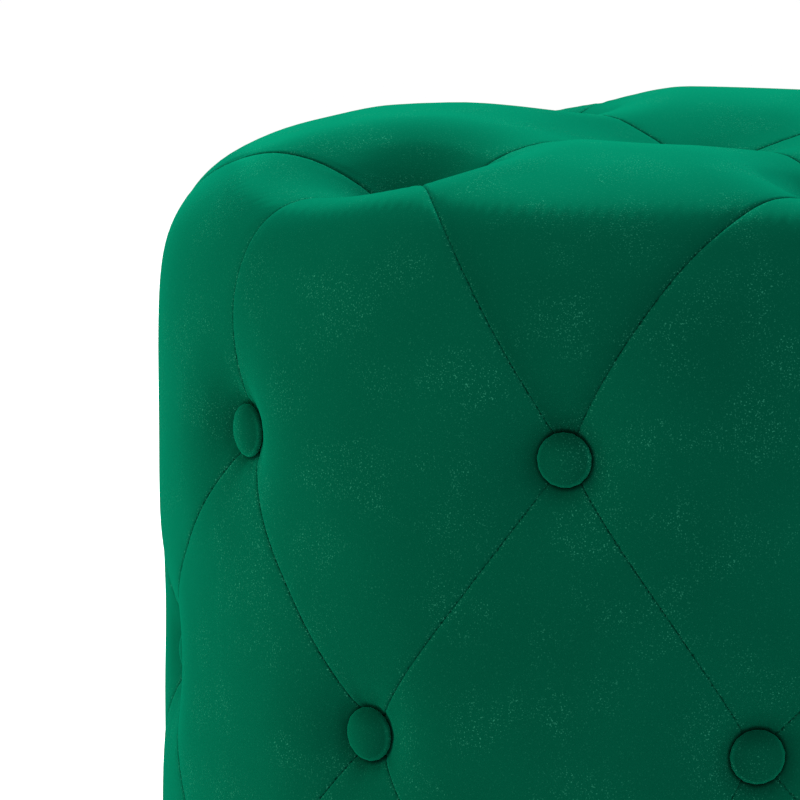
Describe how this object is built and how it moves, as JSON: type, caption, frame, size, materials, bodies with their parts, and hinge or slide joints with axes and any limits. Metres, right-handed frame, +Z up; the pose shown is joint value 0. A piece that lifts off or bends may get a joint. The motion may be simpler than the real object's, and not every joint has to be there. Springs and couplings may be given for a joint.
{
  "type": "round footstool",
  "caption": "Round deep-buttoned velvet footstool, a filled drum with a tufted cover and a flat base.",
  "frame": {"origin": "middle of the flat underside, on the floor", "axes": "+Z up through the middle of the drum, -Y towards an upper-row button where two seams from the top meet, +X to the right seen from -Y"},
  "size_m": [0.4809, 0.4809, 0.4534],
  "materials": {
    "velvet": "matte emerald velvet with a soft sheen",
    "base_cloth": "plain matte black base cloth over a board"
  },
  "bodies": {
    "root": {"base_board": "base_cloth", "button_middle": "velvet", "button_ring_1": "velvet", "button_ring_2": "velvet", "button_ring_3": "velvet", "button_ring_4": "velvet", "button_row1_1": "velvet", "button_row1_2": "velvet", "button_row1_3": "velvet", "button_row1_4": "velvet", "button_row1_5": "velvet", "button_row1_6": "velvet", "button_row1_7": "velvet", "button_row1_8": "velvet", "button_row2_1": "velvet", "button_row2_2": "velvet", "button_row2_3": "velvet", "button_row2_4": "velvet", "button_row2_5": "velvet", "button_row2_6": "velvet", "button_row2_7": "velvet", "button_row2_8": "velvet", "button_row3_1": "velvet", "button_row3_2": "velvet", "button_row3_3": "velvet", "button_row3_4": "velvet", "button_row3_5": "velvet", "button_row3_6": "velvet", "button_row3_7": "velvet", "button_row3_8": "velvet", "tufted_body": "velvet"}
  },
  "joints": []
}
